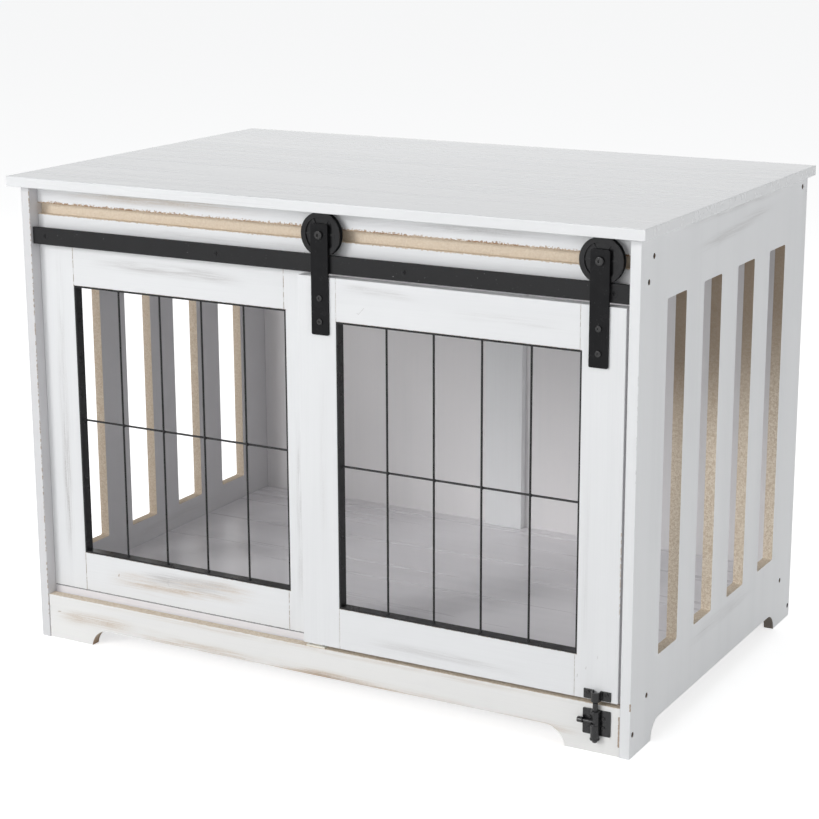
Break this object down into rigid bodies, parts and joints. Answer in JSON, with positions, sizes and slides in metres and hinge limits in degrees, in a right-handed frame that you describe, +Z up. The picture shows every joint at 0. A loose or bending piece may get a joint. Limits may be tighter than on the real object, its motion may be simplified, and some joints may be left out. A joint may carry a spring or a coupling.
{
  "type": "dog crate end table",
  "caption": "White board cabinet with slotted sides, a fixed barred panel and a barred barn door that rolls on a flat black track, closed by a barrel bolt.",
  "frame": {"origin": "on the ground under the middle of the top panel", "axes": "+X to the right as seen from the front, +Y to the back, +Z up"},
  "size_m": [1, 0.65, 0.71],
  "materials": {
    "painted_board": "white paint brushed over fibreboard, faint grain, raw beige cut edges",
    "black_steel": "matt black powder coat",
    "black_fastener": "black oxide, satin",
    "zinc": "zinc plated",
    "dowel": "plain beech",
    "black_nylon": "moulded black nylon, satin",
    "bush": "turned",
    "pale_plastic": "moulded, matt"
  },
  "bodies": {
    "cabinet": {"top_panel": "painted_board", "left_side_panel": "painted_board", "right_side_panel": "painted_board", "floor_panel": "painted_board", "back_panel_left": "painted_board", "back_panel_right": "painted_board", "back_centre_post": "painted_board", "header_rail": "painted_board", "front_stretcher": "painted_board", "rear_stretcher": "painted_board", "front_apron": "painted_board", "rear_plinth": "painted_board", "left_side_screws": "black_fastener", "right_side_screws": "black_fastener", "back_screws": "zinc", "cam_discs": "zinc", "cam_pins": "zinc", "fixed_left_stile": "painted_board", "fixed_right_stile": "painted_board", "fixed_top_rail": "painted_board", "fixed_bottom_rail": "painted_board", "fixed_grille_band": "black_steel", "fixed_grille_wires": "black_steel", "fixed_grille_screws": "black_fastener", "fixed_rail_dowels": "dowel", "fixed_panel_dowels": "dowel", "track_bar": "black_steel", "track_spacers": "black_nylon", "track_screws": "black_fastener", "floor_guide": "pale_plastic", "floor_guide_screws": "zinc", "latch_body": "black_steel", "latch_screws": "black_fastener"},
    "door": {"door_left_stile": "painted_board", "door_right_stile": "painted_board", "door_top_rail": "painted_board", "door_bottom_rail": "painted_board", "door_grille_band": "black_steel", "door_grille_wires": "black_steel", "door_grille_screws": "black_fastener", "door_rail_dowels": "dowel", "left_hanger_strap": "black_steel", "right_hanger_strap": "black_steel", "strap_screws": "black_fastener", "axle_bolts": "black_fastener", "axle_spacers": "zinc", "axle_nuts": "black_fastener", "latch_keeper": "black_steel", "keeper_screws": "black_fastener"},
    "left_wheel": {"left_wheel": "black_nylon", "left_wheel_bush": "bush"},
    "right_wheel": {"right_wheel": "black_nylon", "right_wheel_bush": "bush"},
    "bolt": {"bolt_rod": "black_steel"},
    "knob": {"bolt_knob": "black_steel"}
  },
  "joints": [
    {"name": "door_slide", "type": "slide", "parent": "cabinet", "child": "door", "axis": [-1, 0, 0], "range_m": [0, 0.453]},
    {"name": "left_wheel_spin", "type": "hinge", "parent": "door", "child": "left_wheel", "pos_m": [0.0205, -0.3, 0.6626], "axis": [0, -1, 0], "range_deg": [0, 928]},
    {"name": "right_wheel_spin", "type": "hinge", "parent": "door", "child": "right_wheel", "pos_m": [0.4325, -0.3, 0.6626], "axis": [0, -1, 0], "range_deg": [0, 928]},
    {"name": "bolt_slide", "type": "slide", "parent": "cabinet", "child": "bolt", "axis": [0, 0, 1], "range_m": [0, 0.01]},
    {"name": "knob_turn", "type": "hinge", "parent": "bolt", "child": "knob", "pos_m": [0.44, -0.3116, 0.046], "axis": [0, 0, 1], "range_deg": [0, 90]}
  ],
  "couplings": [
    {"joint": "left_wheel_spin", "follows": "door_slide", "rad_per_m": 35.714},
    {"joint": "right_wheel_spin", "follows": "door_slide", "rad_per_m": 35.714}
  ]
}
